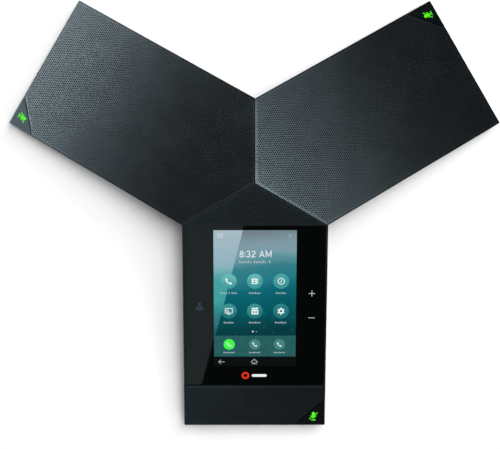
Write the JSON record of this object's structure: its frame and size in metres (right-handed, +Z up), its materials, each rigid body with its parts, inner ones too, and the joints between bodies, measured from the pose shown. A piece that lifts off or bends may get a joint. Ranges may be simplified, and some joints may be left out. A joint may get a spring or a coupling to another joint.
{
  "type": "desk ip phone",
  "caption": "Three-armed tabletop conference phone with a touch screen, speaker grilles, corner mute keys and a rear cable bay.",
  "frame": {"origin": "middle of the outline at table level, under the three rubber feet", "axes": "+Z up, -Y along the arm that carries the touch screen, +X to that user's right"},
  "size_m": [0.383, 0.332, 0.076],
  "materials": {
    "housing": "fine satin, near black",
    "base_plastic": "fine matt texture, near black",
    "grille": "satin powder coat, dark grey-blue, fine round holes",
    "scrim": "black acoustic cloth",
    "cover_glass": "clear and glossy over a black printed border",
    "screen": "lit screen",
    "screen_print": "lit pale symbols and bars",
    "screen_green": "lit green symbol",
    "black_print": "black ink on the underside of the glass",
    "accent": "red ink",
    "mute_key": "smooth satin",
    "mute_icon": "green lit light guide",
    "rubber": "soft matt",
    "label": "blank silver-grey film",
    "steel": "zinc plated",
    "contact": "gold plated",
    "tin_can": "tinned sheet",
    "board": "solder-masked circuit board",
    "flex": "amber flexible circuit",
    "ferrite": "magnet and steel cup",
    "cone": "treated paper",
    "foam": "closed-cell foam",
    "lead": "black insulation",
    "tray": "stamped sheet",
    "light_guide": "clear moulding",
    "socket_plastic": "black socket body"
  },
  "bodies": {
    "phone": {"arm_leads": "lead", "backlight_tray": "tray", "base_housing": "base_plastic", "board_connectors": "light_guide", "board_screws": "steel", "cover_glass": "cover_glass", "display_flex": "flex", "foot_front": "rubber", "foot_left": "rubber", "foot_right": "rubber", "front_grille": "grille", "front_scrim": "scrim", "housing_screws": "steel", "hub_grille": "grille", "hub_scrim": "scrim", "lan_port": "socket_plastic", "lcd_bracket": "steel", "lcd_cell": "screen", "left_grille": "grille", "left_scrim": "scrim", "lock_plate": "steel", "main_board": "board", "mic_boot_front": "foam", "mic_boot_left": "foam", "mic_boot_right": "foam", "mic_capsule_front": "tray", "mic_capsule_left": "tray", "mic_capsule_right": "tray", "micro_usb_port": "tin_can", "mute_board_front": "board", "mute_board_left": "board", "mute_board_right": "board", "nfc_antenna": "flex", "pc_port": "socket_plastic", "power_components": "socket_plastic", "processor_shield": "tin_can", "rating_label": "label", "right_grille": "grille", "right_scrim": "scrim", "speaker_basket": "steel", "speaker_enclosure": "base_plastic", "speaker_gasket": "foam", "speaker_lead": "lead", "speaker_magnet": "ferrite", "speaker_screws": "steel", "speaker_seal": "foam", "speaker_surround": "rubber", "status_light_guide": "light_guide", "upper_housing": "housing", "usb_a_port": "tin_can", "volume_touch_board": "board", "wireless_module": "tin_can"},
    "mute_key_front_body": {"mute_key_front": "mute_key", "mute_icon_front": "mute_icon"},
    "mute_key_right_body": {"mute_key_right": "mute_key", "mute_icon_right": "mute_icon"},
    "mute_key_left_body": {"mute_key_left": "mute_key", "mute_icon_left": "mute_icon"},
    "reset_button_body": {"reset_button": "housing"},
    "speaker_cone_body": {"speaker_cone": "cone"}
  },
  "joints": [
    {"name": "mute_press_front", "type": "slide", "parent": "phone", "child": "mute_key_front_body", "axis": [0, 0.2756, -0.9613], "range_m": [0, 0.0006], "stiffness_N_per_m": 3000},
    {"name": "mute_press_right", "type": "slide", "parent": "phone", "child": "mute_key_right_body", "axis": [-0.2387, -0.1378, -0.9613], "range_m": [0, 0.0006], "stiffness_N_per_m": 3000},
    {"name": "mute_press_left", "type": "slide", "parent": "phone", "child": "mute_key_left_body", "axis": [0.2387, -0.1378, -0.9613], "range_m": [0, 0.0006], "stiffness_N_per_m": 3000},
    {"name": "reset_press", "type": "slide", "parent": "phone", "child": "reset_button_body", "axis": [0, 0, 1], "range_m": [0, 0.0006], "stiffness_N_per_m": 1500},
    {"name": "speaker_travel", "type": "slide", "parent": "phone", "child": "speaker_cone_body", "axis": [0, 0, 1], "range_m": [-0.0015, 0.0015], "stiffness_N_per_m": 1800, "deforming": ["speaker_surround"]}
  ]
}
